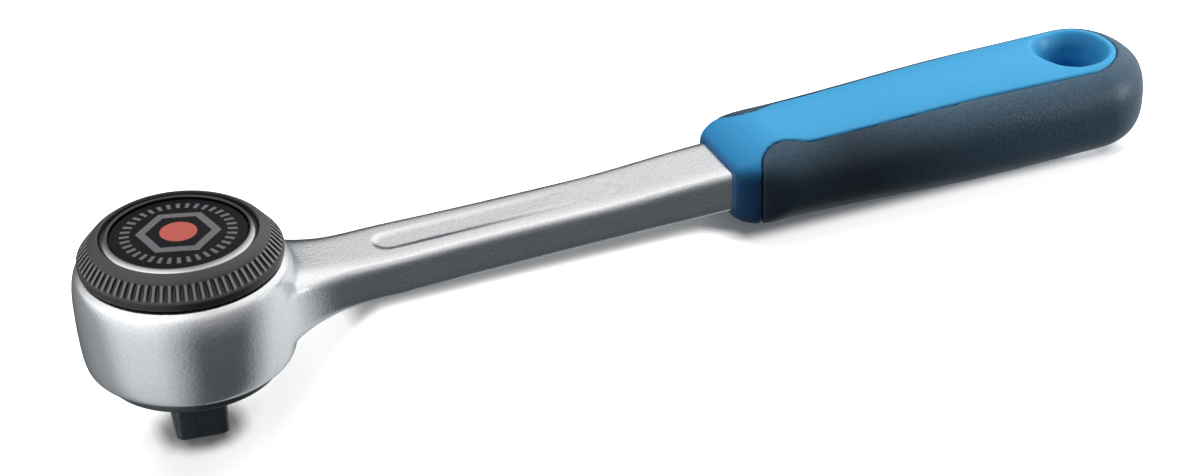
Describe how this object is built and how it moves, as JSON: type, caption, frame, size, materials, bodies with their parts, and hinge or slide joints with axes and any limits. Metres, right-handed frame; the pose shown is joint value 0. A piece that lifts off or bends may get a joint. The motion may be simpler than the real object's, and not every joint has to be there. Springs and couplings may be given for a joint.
{
  "type": "reversible ratchet",
  "caption": "Reversible ratchet with a square drive, a forged chromed head under a knurled selector knob, and a two-colour handle with a hanging hole.",
  "frame": {"origin": "centre of the square's end face, on the drive axis", "axes": "+X along the handle, +Z along the drive axis from the square up through the selector knob"},
  "size_m": [0.1416, 0.026, 0.0272],
  "materials": {
    "satin_chrome": "satin chrome on forged steel",
    "bright_chrome": "polished",
    "dark_steel": "blackened",
    "hard_steel": "ground",
    "spring_steel": "drawn wire",
    "knob_black": "fine grain",
    "disc_black": "glossy",
    "core_blue": "semi-gloss moulding",
    "grip_dark": "pebbled soft grip"
  },
  "bodies": {
    "housing": {"ratchet_body": "satin_chrome", "handle_core": "core_blue", "grip_overmould": "grip_dark"},
    "drive": {"drive_body": "dark_steel", "pawl_pin_front": "hard_steel", "pawl_pin_rear": "hard_steel", "cover_plate": "hard_steel", "retaining_clip": "spring_steel", "socket_ball_spring": "spring_steel"},
    "selector": {"selector_core": "hard_steel", "selector_knob": "knob_black", "trim_ring": "bright_chrome", "emblem_disc": "disc_black", "selector_screw": "hard_steel", "screw_washer": "spring_steel", "plunger_spring": "spring_steel"},
    "pawl_front": {"pawl_front": "hard_steel"},
    "pawl_rear": {"pawl_rear": "hard_steel"},
    "plunger_front": {"plunger_front": "hard_steel"},
    "plunger_rear": {"plunger_rear": "hard_steel"},
    "ball": {"socket_ball": "bright_chrome"}
  },
  "joints": [
    {"name": "drive_spin", "type": "hinge", "parent": "housing", "child": "drive", "pos_m": [0, 0, 0.009], "axis": [0, 0, 1], "continuous": true},
    {"name": "selector_turn", "type": "hinge", "parent": "drive", "child": "selector", "pos_m": [0, 0, 0.024], "axis": [0, 0, 1], "range_deg": [-40, 0]},
    {"name": "pawl_front_rock", "type": "hinge", "parent": "drive", "child": "pawl_front", "pos_m": [0.00714, -0.00094, 0.01585], "axis": [0, 0, 1], "range_deg": [0, 13]},
    {"name": "pawl_rear_rock", "type": "hinge", "parent": "drive", "child": "pawl_rear", "pos_m": [-0.00714, 0.00094, 0.01585], "axis": [0, 0, 1], "range_deg": [0, 13]},
    {"name": "plunger_front_press", "type": "slide", "parent": "selector", "child": "plunger_front", "axis": [-0.9763, -0.2164, 0], "range_m": [0, 0.0006], "stiffness_N_per_m": 200, "springref_m": -0.001, "deforming": ["plunger_spring"]},
    {"name": "plunger_rear_press", "type": "slide", "parent": "selector", "child": "plunger_rear", "axis": [0.9763, 0.2164, 0], "range_m": [0, 0.0006], "stiffness_N_per_m": 200, "springref_m": -0.001, "deforming": ["plunger_spring"]},
    {"name": "socket_ball_press", "type": "slide", "parent": "drive", "child": "ball", "axis": [-0.1305, -0.9914, 0], "range_m": [0, 0.0006], "stiffness_N_per_m": 300, "springref_m": -0.001, "deforming": ["socket_ball_spring"]}
  ],
  "couplings": [
    {"joint": "pawl_front_rock", "follows": "selector_turn", "ratio": -0.325},
    {"joint": "pawl_rear_rock", "follows": "selector_turn", "ratio": -0.325}
  ]
}
